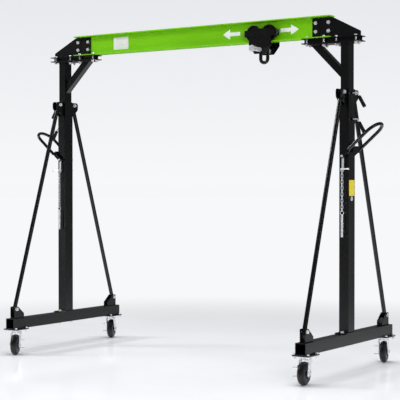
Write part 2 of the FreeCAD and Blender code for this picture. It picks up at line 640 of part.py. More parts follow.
def strut(leg, side):
    """Square tube at 45 degrees between the mast and its plate."""
    face = "-mast_x / 2"
    foot = "mast_high - strut_foot"
    rise = "strut_size * sqrt(2)"
    wall = "strut_wall * sqrt(2)"
    outside = plate(leg + "_strut_outside", [
        (face, foot), (face, f"{foot} + {rise}"),
        (f"{face} - strut_foot + {rise}", "mast_high"), (f"{face} - strut_foot", "mast_high")], "strut_size")
    put(outside, 0, "strut_size / 2", 0, "upright")
    inside = plate(leg + "_strut_inside", [
        (f"{face} + 5", f"{foot} + {wall} - 5"), (f"{face} + 5", f"{foot} + {rise} - {wall} - 5"),
        (f"{face} - strut_foot + {rise} - {wall} - 5", "mast_high + 5"),
        (f"{face} - strut_foot + {wall} - 5", "mast_high + 5")], "strut_size - 2 * strut_wall")
    put(inside, 0, "strut_size / 2 - strut_wall", 0, "upright")
    node(leg + "_strut", [cut(leg + "_strut_tube", outside, [inside])], side)


def web_bolts():
    for x in ("web_bolt_near", "web_bolt_far"):
        for level in (-1, 1):
            yield f"{x}_{level}".replace("-", "m"), f"-{x}", f"beam_mid + {level} * web_bolt_z"


def foot_bolts():
    for x in HEAD_BOLTS_X:
        for j in (-1, 1):
            yield f"{x}_{j}".replace("-", "m"), x, f"{j} * head_bolt_y"


def end_bracket(leg, side):
    """Welded bracket at a beam end: a flanged foot and a plate on each side of the web."""
    middle = "(head_out - head_in) / 2"
    length = "head_out + head_in"
    parts = [
        box(leg + "_foot_top", length, "head_width", "head_flange", middle, 0, "beam_low - head_flange"),
        box(leg + "_foot_low", length, "head_width", "head_flange", middle, 0, "head_low"),
        box(leg + "_foot_web", length, "head_flange", "head_depth", middle, 0, "head_low")]
    low = "track + beam_root"
    high = "beam_top - flange_thick - beam_root"
    outline = [("-gusset_in", low), ("-gusset_in", high), ("-gusset_slope", high),
               ("gusset_out", "beam_low + gusset_end"), ("gusset_out", "beam_low - 1"),
               ("-beam_end + 1", "beam_low - 1"), ("-beam_end + 1", low)]
    for face in (-1, 1):
        body = plate(f"{leg}_end_plate_{face}", outline, "gusset_thick", {"6": [0, 3]})
        put(body, 0, f"{face} * (web_thick + gusset_thick) / 2 + gusset_thick / 2", 0, "upright")
        parts.append(body)
    holes = [drill(f"{leg}_end_hole_{tag}", "frame_bolt", "web_thick + 2 * gusset_thick + 4",
                   x, "-web_thick / 2 - gusset_thick - 2", z, "+y") for tag, x, z in web_bolts()]
    holes += [drill(f"{leg}_foot_bore_{tag}", "frame_bolt", "head_depth + 4", x, y, "head_low - 2", "+z")
              for tag, x, y in foot_bolts()]
    node(leg + "_end_bracket", [cut(leg + "_bracket_bored", fuse(leg + "_bracket_welded", parts), holes)], side)


def head_bolts(leg, side):
    """Bolts through the web and the end plates, and down through the bracket foot."""
    parts = [bolt(f"{leg}_web_bolt_{tag}", "frame_bolt", "web_thick + 2 * gusset_thick",
                  x, f"{side} * (-web_thick / 2 - gusset_thick)", z, "+y" if side > 0 else "-y")
             for tag, x, z in web_bolts()]
    for tag, x, y in foot_bolts():
        seat = "track" if x < -number("beam_end") else "beam_low"
        under = "mast_high" if x in HEAD_BOLTS_X[1:3] else "head_low"
        parts.append(bolt(f"{leg}_foot_bolt_{tag}", "frame_bolt", f"{seat} - {under}", x, y, seat, "-z"))
    node(leg + "_head_bolts", parts, side)


# ---------------------------------------------------------------- casters
def caster(name, leg, end, heading, brake):
    """Fork, wheel and brake pedal: drawn with the axle behind the pivot along +y, then turned."""
    side = -1 if leg == "left" else 1

    def stand(piece):
        piece.Placement = Placement(Vector(), Rotation(Vector(0, 0, 1), heading if side > 0 else heading - 180))
        bind(piece, **{"Placement.Base.y": f"{end * side} * caster_y"})
        return piece

    outline = [(-26, "crown_low"), ("trail - 20", "wheel_radius"), ("trail - 20", "wheel_radius - 22"),
               ("trail + 20", "wheel_radius - 22"), ("trail + 20", "wheel_radius"), (30, "crown_low")]
    cheeks = []
    for face in (-1, 1):
        body = plate(f"{name}_cheek_{face}", outline, "fork_thick", {"18": [2, 3]})
        put(body, f"{face} * (fork_in + fork_thick / 2) - fork_thick / 2", 0, 0, "across")
        cheeks.append(body)
    crown = box(name + "_crown", "2 * fork_out", 60, 5, 0, 0, "crown_low")
    race = rod(name + "_race", 31, "swivel_high - crown_low - 0.6", 0, 0, "crown_low")
    axle = rod(name + "_axle", "frame_bolt / 2", "2 * fork_out + 16", "-fork_out - 8", "trail", "wheel_radius", "+x")
    nut = hexagon(name + "_axle_nut", "0.92 * frame_bolt", 9, f"{-brake} * fork_out", "trail", "wheel_radius",
                  "+x" if brake < 0 else "-x")
    fork = fuse(name + "_fork_whole", cheeks + [crown, race, axle, nut])
    node(name + "_caster_fork", [stand(fork)], side)

    tyre = rod(name + "_tyre", "wheel_radius", "wheel_width", "-wheel_width / 2", "trail", "wheel_radius", "+x")
    doc.recompute()
    round_off = doc.addObject("Part::Fillet", name + "_tyre_round")
    round_off.Base = tyre
    shoulder = number("wheel_round")
    rims = [i for i, e in enumerate(tyre.Shape.Edges, start=1) if len(e.Vertexes) == 1]
    round_off.Edges = [(i, shoulder, shoulder) for i in rims]
    dishes = []
    for face in (-1, 1):
        dish = rod(f"{name}_dish_{face}", "wheel_radius - 27", 7, f"{face} * (wheel_width / 2 - 7)", "trail",
                   "wheel_radius", "+x" if face > 0 else "-x")
        dishes.append(dish)
    hub = rod(name + "_hub", 19, "wheel_width + 4", "-wheel_width / 2 - 2", "trail", "wheel_radius", "+x")
    bore = rod(name + "_bore", "frame_bolt / 2 + running_gap", "wheel_width + 10", "-wheel_width / 2 - 5",
               "trail", "wheel_radius", "+x")
    wheel = cut(name + "_wheel_bored", fuse(name + "_wheel_whole", [cut(name + "_rim", round_off, dishes), hub]),
                [bore])
    node(name + "_caster_wheel", [stand(wheel)], side)

    lever_plate = box(name + "_pedal_plate", 3, 34, 78, f"{brake} * (fork_out + 2.5)", "trail + 4", "wheel_radius - 26")
    tabs = [box(f"{name}_pedal_tab_{k}", 36, 24, 3, f"{brake} * (fork_out + 1 + 18)", "trail + 8", level)
            for k, level in enumerate(("wheel_radius + 34", "wheel_radius - 22"))]
    pivot = rod(name + "_pedal_bore", "frame_bolt / 2 + running_gap", 60,
                f"{brake} * (fork_out + 12) - 30", "trail", "wheel_radius", "+x")
    pedal = cut(name + "_pedal_bored", fuse(name + "_pedal_whole", [lever_plate] + tabs), [pivot])
    node(name + "_brake_pedal", [stand(pedal)], side)


# ---------------------------------------------------------------- beam and trolley
def i_beam():
    """Rolled I section, bored for the bolts of both end brackets."""
    half = "beam_flange / 2"
    web = "web_thick / 2"
    outline = [(f"-{half}", "beam_low"), (half, "beam_low"), (half, "track"), (web, "track"),
               (web, "beam_top - flange_thick"), (half, "beam_top - flange_thick"), (half, "beam_top"),
               (f"-{half}", "beam_top"), (f"-{half}", "beam_top - flange_thick"),
               (f"-{web}", "beam_top - flange_thick"), (f"-{web}", "track"), (f"-{half}", "track")]
    section = plate("beam_section", outline, "beam_length", {"beam_root": [3, 4, 9, 10]})
    put(section, "-beam_length / 2", 0, 0, "across")
    holes = []
    for side in (-1, 1):
        tag_side = "left" if side < 0 else "right"
        for tag, x, z in web_bolts():
            holes.append(drill(f"{tag_side}_web_hole_{tag}", "frame_bolt", "web_thick + 4",
                               f"{side} * (span / 2 + ({x}))", "-web_thick / 2 - 2", z, "+y"))
        for tag, x, y in foot_bolts():
            if x < -number("beam_end"):
                holes.append(drill(f"{tag_side}_flange_hole_{tag}", "frame_bolt", "flange_thick + 4",
                                   f"{side} * (span / 2 + ({x}))", y, "beam_low - 2", "+z"))
    node("i_beam", [cut("beam_bored", section, holes)])


def roller_places():
    for face, side_name in ((-1, "front"), (1, "back")):
        for end, end_name in ((-1, "left"), (1, "right")):
            yield face, end, f"{side_name}_{end_name}"


def trolley_sides():
    """Side plates with bent ears, roller pins and the bores of the load axle."""
    outline = [("-side_width / 2 + 45", "side_low"), ("side_width / 2 - 45", "side_low"),
               ("side_width / 2", "side_low + 55"), ("side_width / 2", "side_high - 10"),
               ("side_width / 2 - 12", "side_high"), ("12 - side_width / 2", "side_high"),
               ("-side_width / 2", "side_high - 10"), ("-side_width / 2", "side_low + 55")]
    for face, name in ((-1, "front"), (1, "back")):
        label = f"trolley_{name}"
        body = plate(label + "_sheet", outline, "side_thick", {"5": [0, 1, 2, 7]})
        put(body, 0, f"{face} * (side_in + side_thick / 2) + side_thick / 2", 0, "upright")
        parts = [body]
        for end in (-1, 1):
            # An ear runs on from the sheet and bends in towards the web.
            edge = f"{end} * side_width / 2"
            reach = f"{end} * (roller_spacing / 2 + roller_rim + 11)"
            inner = f"{end} * (roller_spacing / 2 + roller_rim + 6)"
            ear = plate(f"{label}_ear_{end}", [
                (edge, f"{face} * side_out"), (reach, f"{face} * side_out"), (reach, f"{face} * (side_in - 34)"),
                (inner, f"{face} * (side_in - 34)"), (inner, f"{face} * (side_out - 5)"),
                (edge, f"{face} * (side_out - 5)")], 43, {"14": [1], "9": [4]})
            put(ear, 0, 0, "side_high - 53")
            parts.append(ear)
            x = f"{end} * roller_spacing / 2"
            pin_in = f"{face} * 15"
            parts.append(rod(f"{label}_roller_pin_{end}", "roller_pin / 2", "side_in - 14", x, pin_in,
                             "roller_z", "+y" if face > 0 else "-y"))
            parts.append(rod(f"{label}_rivet_{end}", 9, 3.5, x, f"{face} * (side_out - 0.5)", "roller_z",
                             "+y" if face > 0 else "-y"))
        bore = rod(label + "_bore", "axle_size / 2 + bolt_clear", "side_thick + 10", 0,
                   f"{face} * (side_in + side_thick / 2) - side_thick / 2 - 5", "axle_z", "+y")
        whole = cut(label + "_bored", fuse(label + "_welded", parts), [bore])
        bind(whole, **{"Placement.Base.x": "trolley_x"})
        node(label + "_plate", [whole])


def trolley_rollers():
    """Rollers that run on the lower flange, each with a rim outside the flange and a dished face."""
    for face, end, name in roller_places():
        turn = "+y" if face > 0 else "-y"
        x = f"trolley_x + {end} * roller_spacing / 2"
        label = "trolley_roller_" + name
        tread = rod(label + "_tread", "roller_tread", "beam_flange / 2 - 12", x, f"{face} * 14", "roller_z", turn)
        rim = rod(label + "_rim", "roller_rim", 6, x, f"{face} * (beam_flange / 2 + 1)", "roller_z", turn)
        dish = rod(label + "_dish", "roller_rim - 14", 12, x, f"{face} * (beam_flange / 2 - 1)", "roller_z", turn)
        hub = rod(label + "_hub", "roller_pin / 2 + 9", "beam_flange / 2 - 4", x, f"{face} * 16", "roller_z", turn)
        bore = rod(label + "_bore", "roller_pin / 2 + running_gap", 80, x, f"{face} * 5", "roller_z", turn)
        solid = cut(label + "_dished", fuse(label + "_blank", [tread, rim]), [dish])
        node(label, [cut(label + "_bored", fuse(label + "_whole", [solid, hub]), [bore])])


def load_axle():
    """Axle through both side plates, with a collar inside each, and its ring pins."""
    span_length = "axle_front + axle_back"
    shaft = rod("axle_shaft", "axle_size / 2", span_length, "trolley_x", "-axle_front", "axle_z", "+y")
    collars = [rod(f"axle_collar_{face}", "0.7 * axle_size", 10, "trolley_x", f"{face} * (side_in - 10)", "axle_z",
                   "+y" if face > 0 else "-y") for face in (-1, 1)]
    ends = {"front": "-axle_front + 12", "back": "axle_back - 12"}
    holes = [rod(f"axle_pin_hole_{name}", 2.8, "axle_size + 4", "trolley_x", y, "axle_z - axle_size / 2 - 2")
             for name, y in ends.items()]
    node("load_axle", [cut("axle_bored", fuse("axle_whole", [shaft] + collars), holes)])
    rings = []
    for name, y in ends.items():
        stem = rod(f"ring_pin_{name}", 2.5, "axle_size + 16", "trolley_x", y, "axle_z - axle_size / 2 - 8")
        ring = bend(f"ring_{name}", "axle_size / 2 + 7", 1.6, 360, "trolley_x", y, "axle_z", "upright")
        rings.append(fuse(f"ring_clip_{name}", [stem, ring]))
    node("axle_ring_pins", rings)


def load_link():
    """Oval eye that hangs on the load axle between the side plates."""
    radius = "(eye_gap + eye_bar) / 2"
    straight = "eye_top - eye_bottom"
    parts = [rod(f"eye_side_{way}", "eye_bar / 2", straight, f"trolley_x + {way} * {radius}", 0, "eye_bottom")
             for way in (-1, 1)]
    for way, level in ((-1, "eye_bottom"), (1, "eye_top")):
        arc = bend(f"eye_arc_{way}", radius, "eye_bar / 2", 180, 0, 0, 0)
        arc.Placement = Placement(Vector(), Rotation(Vector(1, 0, 0), 90 * way))
        bind(arc, **{"Placement.Base.x": "trolley_x", "Placement.Base.z": level})
        parts.append(arc)
    node("load_link", [fuse("eye_whole", parts)])


# ---------------------------------------------------------------- build and write
for leg_name, leg_side in (("left", -1), ("right", 1)):
    for build in (base_beam, caster_plates, brace_feet, outer_post, brace_rods, leg_fittings, clamp_screws,
                  lever, chain, mast, strut, end_bracket, head_bolts):
        build(leg_name, leg_side)
    for link_face in ("front", "back"):
        lifting_link(leg_name, leg_side, link_face)
for corner, leg_side, foot_end, turned, brake_side in CASTERS:
    caster(corner, "left" if leg_side < 0 else "right", foot_end, turned, brake_side)
i_beam()
trolley_sides()
trolley_rollers()
load_axle()
load_link()
doc.recompute()

for item in doc.Objects:
    if {"Invalid", "Error"} & set(item.State):
        raise RuntimeError(f"{item.Label} did not build: {item.State}")
os.makedirs("parts", exist_ok=True)
for name, item in NODES.items():
    shape = item.Shape
    if shape.isNull() or not shape.isValid() or not shape.Solids:
        raise RuntimeError(f"{name} has no good shape")
    shape.exportStep(f"parts/{name}.step")
print(len(NODES), "nodes", round(sum(item.Shape.Volume for item in NODES.values()) * 7.85e-6, 1), "kg as steel")
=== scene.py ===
# %% [markdown]
# # A portable gantry crane
# The crane is an I-beam on two legs whose inner masts slide in outer posts. Its parts are
# already modelled to size and loaded here as a fixed frame. This lesson gives them soft
# edges, real finishes and the small pieces that a machine shop would add: tyres, grips,
# weld beads, labels and painted arrows.

# %% Load the frame
import json
import math

import bmesh
import bpy
from mathutils import Matrix, Vector


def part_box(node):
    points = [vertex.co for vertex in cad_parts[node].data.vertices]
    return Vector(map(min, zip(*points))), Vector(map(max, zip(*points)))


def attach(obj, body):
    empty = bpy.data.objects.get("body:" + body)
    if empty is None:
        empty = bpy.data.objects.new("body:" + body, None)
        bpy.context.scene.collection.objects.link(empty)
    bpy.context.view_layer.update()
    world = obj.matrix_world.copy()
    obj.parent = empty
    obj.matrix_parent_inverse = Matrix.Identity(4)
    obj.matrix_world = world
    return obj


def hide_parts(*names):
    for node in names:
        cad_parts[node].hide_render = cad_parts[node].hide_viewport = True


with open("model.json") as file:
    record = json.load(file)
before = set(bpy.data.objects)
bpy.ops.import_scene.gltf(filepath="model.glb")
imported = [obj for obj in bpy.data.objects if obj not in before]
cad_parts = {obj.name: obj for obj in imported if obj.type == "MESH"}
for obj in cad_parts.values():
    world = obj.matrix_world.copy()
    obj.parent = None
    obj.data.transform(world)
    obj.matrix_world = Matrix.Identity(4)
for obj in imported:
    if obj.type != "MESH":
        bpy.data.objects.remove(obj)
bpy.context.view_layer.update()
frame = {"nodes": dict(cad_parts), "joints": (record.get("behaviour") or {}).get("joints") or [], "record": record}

MM = 0.001
scene = bpy.context.scene
joints = {joint["name"]: joint for joint in frame["joints"]}

# %% [markdown]
# ## Camera
# A long lens held at chest height, well back and to the right, keeps the posts upright and
# lets the beam run away to the left.

# %% Camera
LENS_MM, SENSOR_MM = 109.4, 36.0
CAMERA_REACH = 200.0
CAMERA_PLACE = (4.9445, -7.2897, 1.2811)
LOOK_UP, LOOK_LEFT = math.radians(90 - 0.863), math.radians(33.93)

camera_data = bpy.data.cameras.new("camera")
camera_data.lens = LENS_MM
camera_data.sensor_width = SENSOR_MM
camera_data.clip_end = CAMERA_REACH
camera = bpy.data.objects.new("camera", camera_data)
camera.location = CAMERA_PLACE
camera.rotation_euler = (LOOK_UP, 0.0, LOOK_LEFT)
scene.collection.objects.link(camera)
scene.camera = camera

# %% [markdown]
# ## Colour and nodes
# Paint charts give colours as sRGB hex values, while shaders work in linear light, so one
# function turns one into the other. The next adds a shader node with its settings and links,
# and the rest are the few steps that every finish is made of.

# %% Colour and node helpers


def linear(hex_colour):
    """An sRGB hex colour as linear red, green, blue and alpha, by the sRGB curve."""
    parts = [int(hex_colour[i:i + 2], 16) / 255 for i in (1, 3, 5)]
    return [p / 12.92 if p <= 0.04045 else ((p + 0.055) / 1.055) ** 2.4
            for p in parts] + [1.0]


def add(tree, kind, inputs=None, **settings):
    """A new node: inputs are values, or the output sockets to link."""
    node = tree.nodes.new(kind)
    for name, value in settings.items():
        setattr(node, name, value)
    for name, value in (inputs or {}).items():
        if isinstance(value, bpy.types.NodeSocket):
            tree.links.new(value, node.inputs[name])
        else:
            node.inputs[name].default_value = value
    return node


def material(name, **sockets):
    """A material with its tree, its shader and the object coordinates."""
    made = bpy.data.materials.new(name)
    made.use_nodes = True
    tree = made.node_tree
    shader = tree.nodes["Principled BSDF"]
    for socket, value in sockets.items():
        shader.inputs[socket.replace("_", " ")].default_value = value
    where = add(tree, "ShaderNodeTexCoord").outputs["Object"]
    return made, tree, shader, where


def ramp(tree, factor, low, high, start=0.0, end=1.0):
    """A colour ramp from one hex colour to another."""
    node = add(tree, "ShaderNodeValToRGB", {"Fac": factor})
    node.color_ramp.elements[0].position = start
    node.color_ramp.elements[0].color = linear(low)
    node.color_ramp.elements[1].position = end
    node.color_ramp.elements[1].color = linear(high)
    return node.outputs["Color"]


def noise(tree, where, size_mm, detail=3.0, roughness=0.55):
    """Noise whose blotches are about size_mm across."""
    inputs = {"Vector": where, "Scale": 1 / (size_mm * MM),
              "Detail": detail, "Roughness": roughness}
    return add(tree, "ShaderNodeTexNoise", inputs).outputs["Fac"]


def spread(tree, factor, low, high):
    """A factor of 0 to 1 stretched between two numbers."""
    inputs = {"Value": factor, "To Min": low, "To Max": high}
    return add(tree, "ShaderNodeMapRange", inputs).outputs["Result"]


def bump(tree, shader, height, depth_mm):
    """A bump of a given depth on the shader."""
    node = add(tree, "ShaderNodeBump", {"Height": height, "Distance": depth_mm * MM,
                                        "Strength": 1.0})
    tree.links.new(node.outputs["Normal"], shader.inputs["Normal"])


def finish(name, colours, band, colour_mm, rough, rough_mm, grain_mm, grain_depth_mm,
           metallic=0.0, specular=0.5, stretch=(1.0, 1.0, 1.0)):
    """A finish whose colour, gloss and grain each follow noise of their own size."""
    made, tree, shader, where = material(name, Metallic=metallic, Specular_IOR_Level=specular)
    flow = where
    if stretch != (1.0, 1.0, 1.0):
        flow = add(tree, "ShaderNodeMapping", {"Vector": where, "Scale": stretch}).outputs["Vector"]
    colour = ramp(tree, noise(tree, flow, colour_mm), *colours, *band)
    gloss = spread(tree, noise(tree, where, rough_mm), *rough)
    tree.links.new(colour, shader.inputs["Base Color"])
    tree.links.new(gloss, shader.inputs["Roughness"])
    bump(tree, shader, noise(tree, flow, grain_mm, detail=2.0), grain_depth_mm)
    return made


# %% [markdown]
# ## Black powder coat
# Polyester powder is sprayed on dry and baked. It flows into a glossy skin with the faint
# orange peel of a waffle a few millimetres across. The peel is drawn as a shallow bump, and a
# slow blotchiness keeps the colour and the gloss from being even.

# %% Black powder coat
powder_black = finish("black_powder_coat", ("#040405", "#090909"), band=(0.3, 0.75),
                      colour_mm=140, rough=(0.20, 0.30), rough_mm=45, grain_mm=3.5,
                      grain_depth_mm=0.015, specular=0.4)

# %% [markdown]
# ## Lime enamel
# The beam is sprayed with a bright two-pack enamel. The rolled steel beneath shows as long
# shallow waves rather than as grain, so the noise is stretched along the beam.

# %% Lime enamel
enamel_lime = finish("lime_enamel", ("#70BA00", "#7ECC02"), band=(0.3, 0.7),
                     colour_mm=160, rough=(0.26, 0.36), rough_mm=30, grain_mm=9,
                     grain_depth_mm=0.03, specular=0.22, stretch=(0.25, 1.0, 1.0))

# %% [markdown]
# ## Bright zinc
# Bolts, forks and pins are electroplated with zinc and passivated: a pale bluish metal, bright
# but slightly cloudy, with the fine spangle of handled hardware. The clear film over the metal
# dulls it, so it is only partly metallic here.

# %% Bright zinc
zinc = finish("bright_zinc_plate", ("#D2D5DA", "#F0F1F3"), band=(0.3, 0.7),
              colour_mm=12, rough=(0.18, 0.38), rough_mm=5, grain_mm=2.2,
              grain_depth_mm=0.008, metallic=0.55)

# %% [markdown]
# ## Rubber
# Tyres and grips are moulded rubber: nearly black, with the sheen of a polished mould, a
# slight bloom that greys it in patches, and a fine mould texture.

# %% Rubber
rubber = finish("moulded_rubber", ("#070708", "#121213"), band=(0.3, 0.75),
                colour_mm=25, rough=(0.30, 0.44), rough_mm=14, grain_mm=1.6,
                grain_depth_mm=0.03, specular=0.35)

# %% [markdown]
# ## Label vinyl and marking paint
# Labels are printed on satin vinyl, and the arrows are brushed through a stencil, so both are
# opaque and even, with only a trace of mottling.

# %% Label vinyl and marking paint
MOTTLE_MM, PRINT_GRAIN_MM, PRINT_GRAIN_DEPTH_MM = 18, 4, 0.03


def print_colour(name, low, high, rough):
    """An opaque printed or brushed colour."""
    made, tree, shader, where = material(name, Metallic=0.0, Roughness=rough)
    colour = ramp(tree, noise(tree, where, MOTTLE_MM), low, high, 0.25, 0.75)
    tree.links.new(colour, shader.inputs["Base Color"])
    bump(tree, shader, noise(tree, where, PRINT_GRAIN_MM), PRINT_GRAIN_DEPTH_MM)
    return made


vinyl_yellow = print_colour("yellow_label_vinyl", "#D8C628", "#E6D43A", 0.38)
vinyl_white = print_colour("white_label_vinyl", "#DADAD8", "#ECECEA", 0.38)
paint_white = print_colour("white_marking_paint", "#E6E8E6", "#F6F7F5", 0.45)
FINISH = {"black_powder_coat": powder_black, "green_enamel": enamel_lime,
          "bright_zinc": zinc, "black_rubber": rubber}

# %% [markdown]
# ## Soft edges
# No steel edge is a knife edge: shears, rollers and paint all round it by about a millimetre,
# and that round catches the light. Each part is copied, its loose triangles are merged into
# flat faces again, and a bevel is worked along every sharp edge. The chains are round bar
# already, so theirs are left.

# %% Soft edges
EDGE_MM = {"bright_zinc": 0.4, "black_powder_coat": 1.0, "green_enamel": 1.6, "black_rubber": 1.0}
WELD_WITHIN_M = 0.00002
FLAT_WITHIN = math.radians(0.5)
SHARP_FROM = math.radians(40)
CORNER_PROFILE = 0.5


def show(piece, body, coat, slot_name, *stands_for):
    """Finish a piece, give it its body, and let it stand for parts of the frame. The slot name is not used."""
    piece.data.materials.clear()
    piece.data.materials.append(coat)
    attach(piece, body)
    if stands_for:
        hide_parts(*stands_for)


def piece_from(bm, name, smooth=35):
    """A mesh object at the origin from a bmesh, smooth except across sharp edges."""
    mesh = bpy.data.meshes.new(name)
    bm.to_mesh(mesh)
    bm.free()
    made = bpy.data.objects.new(name, mesh)
    scene.collection.objects.link(made)
    for face in mesh.polygons:
        face.use_smooth = True
    mesh.set_sharp_from_angle(angle=math.radians(smooth))
    return made


def softened(node, width_mm):
    """A copy of a node with its sharp edges rounded."""
    bm = bmesh.new()
    bm.from_mesh(frame["nodes"][node].data)
    bmesh.ops.remove_doubles(bm, verts=bm.verts, dist=WELD_WITHIN_M)
    bmesh.ops.dissolve_limit(bm, angle_limit=FLAT_WITHIN, use_dissolve_boundaries=False,
                             verts=bm.verts, edges=bm.edges, delimit={"NORMAL"})
    made = piece_from(bm, node + "_finished")
    if width_mm:
        edge = made.modifiers.new("edge round", "BEVEL")
        edge.width = width_mm * MM
        edge.segments = 2
        edge.limit_method = "ANGLE"
        edge.angle_limit = SHARP_FROM
        edge.harden_normals = True
    return made


def rounded(bm, corners, offset_mm, segments):
    """Round the corners of an outline or a path."""
    bmesh.ops.bevel(bm, geom=list(corners), offset=offset_mm * MM, segments=segments,
                    profile=CORNER_PROFILE, affect="VERTICES", material=-1)


body_of = {member: body for body, members in frame["record"]["behaviour"]["bodies"].items()
           for member in members}
slot_of = {row["node"]: row["material_slot"] for row in frame["record"]["subparts"]}
MADE_BELOW = ("caster_wheel", "_clamp", "trolley_roller")
softened_nodes = [node for node in frame["nodes"] if not any(word in node for word in MADE_BELOW)]
for node in softened_nodes:
    slot_name = slot_of[node]
    width_mm = 0 if "chain" in node else EDGE_MM[slot_name]
    show(softened(node, width_mm), body_of[node], FINISH[slot_name], slot_name, node)
print("softened", len(softened_nodes), "nodes")

# %% [markdown]
# ## Turned parts
# Tyres and rollers are turned shapes. Half of the section is drawn as a few points, its
# corners are rounded with a bevel, and it is spun about the axle.

# %% Turned parts
SEAM_WITHIN_M = 0.000001
TYRE = [(-24, 30), (-24, 46), (-22.5, 48), (-24, 50), (-24, 60), (-19, 69), (-11, 73.6),
        (-4, 74.9), (4, 74.9), (11, 73.6), (19, 69), (24, 60), (24, 50), (22.5, 48), (24, 46),
        (24, 30)]
CENTRE = [(-17, 14), (-17, 32), (17, 32), (17, 14)]
HUB = [(-26, 6.2), (-26, 13), (-24, 17), (24, 17), (26, 13), (26, 6.2)]


def turned(name, section, centre, axis, corner_mm=2.0, steps=96):
    """A closed section of (along, out) points in mm, spun about an axis through a centre."""
    bm = bmesh.new()
    ring = [bm.verts.new((along * MM, 0.0, out * MM)) for along, out in section]
    for i, vert in enumerate(ring):
        bm.edges.new((vert, ring[(i + 1) % len(ring)]))
    rounded(bm, bm.verts, corner_mm, 3)
    bmesh.ops.spin(bm, geom=list(bm.verts) + list(bm.edges), cent=(0, 0, 0), axis=(1, 0, 0),
                   angle=math.tau, steps=steps, use_merge=True)
    bmesh.ops.remove_doubles(bm, verts=bm.verts, dist=SEAM_WITHIN_M)
    bmesh.ops.recalc_face_normals(bm, faces=bm.faces)
    turn = Vector((1, 0, 0)).rotation_difference(Vector(axis)).to_matrix().to_4x4()
    bmesh.ops.transform(bm, matrix=Matrix.Translation(centre) @ turn, verts=bm.verts)
    return piece_from(bm, name)


for corner in ("left_front", "left_back", "right_front", "right_back"):
    spin = joints[corner + "_wheel_spin"]
    middle = Vector(spin["pos_m"])
    body = corner + "_wheel"
    tyre = turned(corner + "_tyre", TYRE, middle, spin["axis"])
    show(tyre, body, rubber, "black_rubber", corner + "_caster_wheel")
    wheel_centre = turned(corner + "_wheel_centre", CENTRE, middle, spin["axis"])
    show(wheel_centre, body, rubber, "black_rubber")
    hub = turned(corner + "_wheel_hub", HUB, middle, spin["axis"], 1.0)
    show(hub, body, powder_black, "black_powder_coat")
print("turned the tyres")

# %% [markdown]
# ## Trolley rollers
# Each roller is a casting with a tread on the flange, a taller rim outside it, and a dished
# face that shows the closed bearing round its pin.

# %% Trolley rollers
ROLLER = [(-17.5, 10.3), (-17.5, 51.7), (7, 51.7), (8, 59), (13.5, 59), (14, 47), (5, 44), (5, 27),
          (12, 25), (12, 18), (17.5, 17), (17.5, 10.3)]
for place in ("front_left", "front_right", "back_left", "back_right"):
    low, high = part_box("trolley_roller_" + place)
    outward = -1 if place.startswith("front") else 1
    roller = turned(f"trolley_roller_{place}_turned", ROLLER, (low + high) / 2,
                    (0, outward, 0), 1.6)
    show(roller, "roller_" + place, powder_black, "black_powder_coat", "trolley_roller_" + place)

# %% [markdown]
# ## Clamp screws
# A clamp screw is one bent rod with a rubber grip pushed over its end. The rod is a curve with
# a round section, and the grip is turned with shallow ribs and a swollen end.

# %% Clamp screws
ROD_RADIUS_MM, ROD_BEND_MM = 5, 9
ROD_INWARD_MM, ROD_OUTWARD_MM, ROD_DOWN_MM = 21, 25, 34
CLAMP_BEND = math.radians(60)
GRIP_FROM_MM, GRIP_STEPS = 24, 40
GRIP = [(0, 0.5), (0, 9), (4, 12), (12, 12.4), (14, 11.2), (17, 12.4), (24, 12.4), (26, 11.2),
        (29, 12.4), (36, 12.4), (38, 11.2), (41, 12.4), (48, 12.4), (50, 11.2), (53, 12.4),
        (62, 12.7), (80, 12.8), (85, 10), (85, 0.5)]


def rod_along(name, points):
    """A round bar along a path in metres whose corners are bent to a radius."""
    bm = bmesh.new()
    ring = [bm.verts.new(point) for point in points]
    for first, second in zip(ring, ring[1:]):
        bm.edges.new((first, second))
    rounded(bm, ring[1:-1], ROD_BEND_MM, 8)
    path = bpy.data.meshes.new(name)
    bm.to_mesh(path)
    bm.free()
    made = bpy.data.objects.new(name, path)
    scene.collection.objects.link(made)
    bpy.context.view_layer.objects.active = made
    for other in bpy.context.selected_objects:
        other.select_set(False)
    made.select_set(True)
    bpy.ops.object.convert(target="CURVE")
    made.data.bevel_depth = ROD_RADIUS_MM * MM
    made.data.bevel_resolution = 6
    made.data.use_fill_caps = True
    bpy.ops.object.convert(target="MESH")
    for face in made.data.polygons:
        face.use_smooth = True
    made.data.set_sharp_from_angle(angle=math.radians(35))
    return made


for leg, side in (("left", -1), ("right", 1)):
    for level in ("upper", "lower"):
        node = f"{leg}_{level}_clamp"
        pivot_x, _, height = joints[node + "_turn"]["pos_m"]
        start = Vector((pivot_x - side * ROD_INWARD_MM * MM, 0, height))
        knee = Vector((side * (abs(pivot_x) + ROD_OUTWARD_MM * MM), 0, height))
        down = Vector((side * math.cos(CLAMP_BEND), 0, -math.sin(CLAMP_BEND)))
        stem = rod_along(node + "_rod", [start, knee, knee + down * ROD_DOWN_MM * MM])
        show(stem, node, zinc, "bright_zinc", node)
        grip = turned(node + "_grip", GRIP, knee + down * GRIP_FROM_MM * MM, down, 1.0,
                      GRIP_STEPS)
        show(grip, node, rubber, "black_rubber")

# %% [markdown]
# ## Weld beads
# A hand-held torch leaves a bead of overlapping ripples, here about 5 mm across with a ripple
# every 3 mm. Beads run round the foot of each post and round both ends of each strut, and the
# powder coat covers them.

# %% Weld beads
BEAD_SIDES = 8
BEAD_RADIUS_MM = 2.6
BEAD_STEP = 1.5 * MM
CREST, TROUGH = 1.12, 0.88
POST_HALF_X, POST_HALF_Y, FOOT_THICK = 35 * MM, 45 * MM, 8 * MM
STRUT_CUT = 50 * math.sqrt(2) * MM


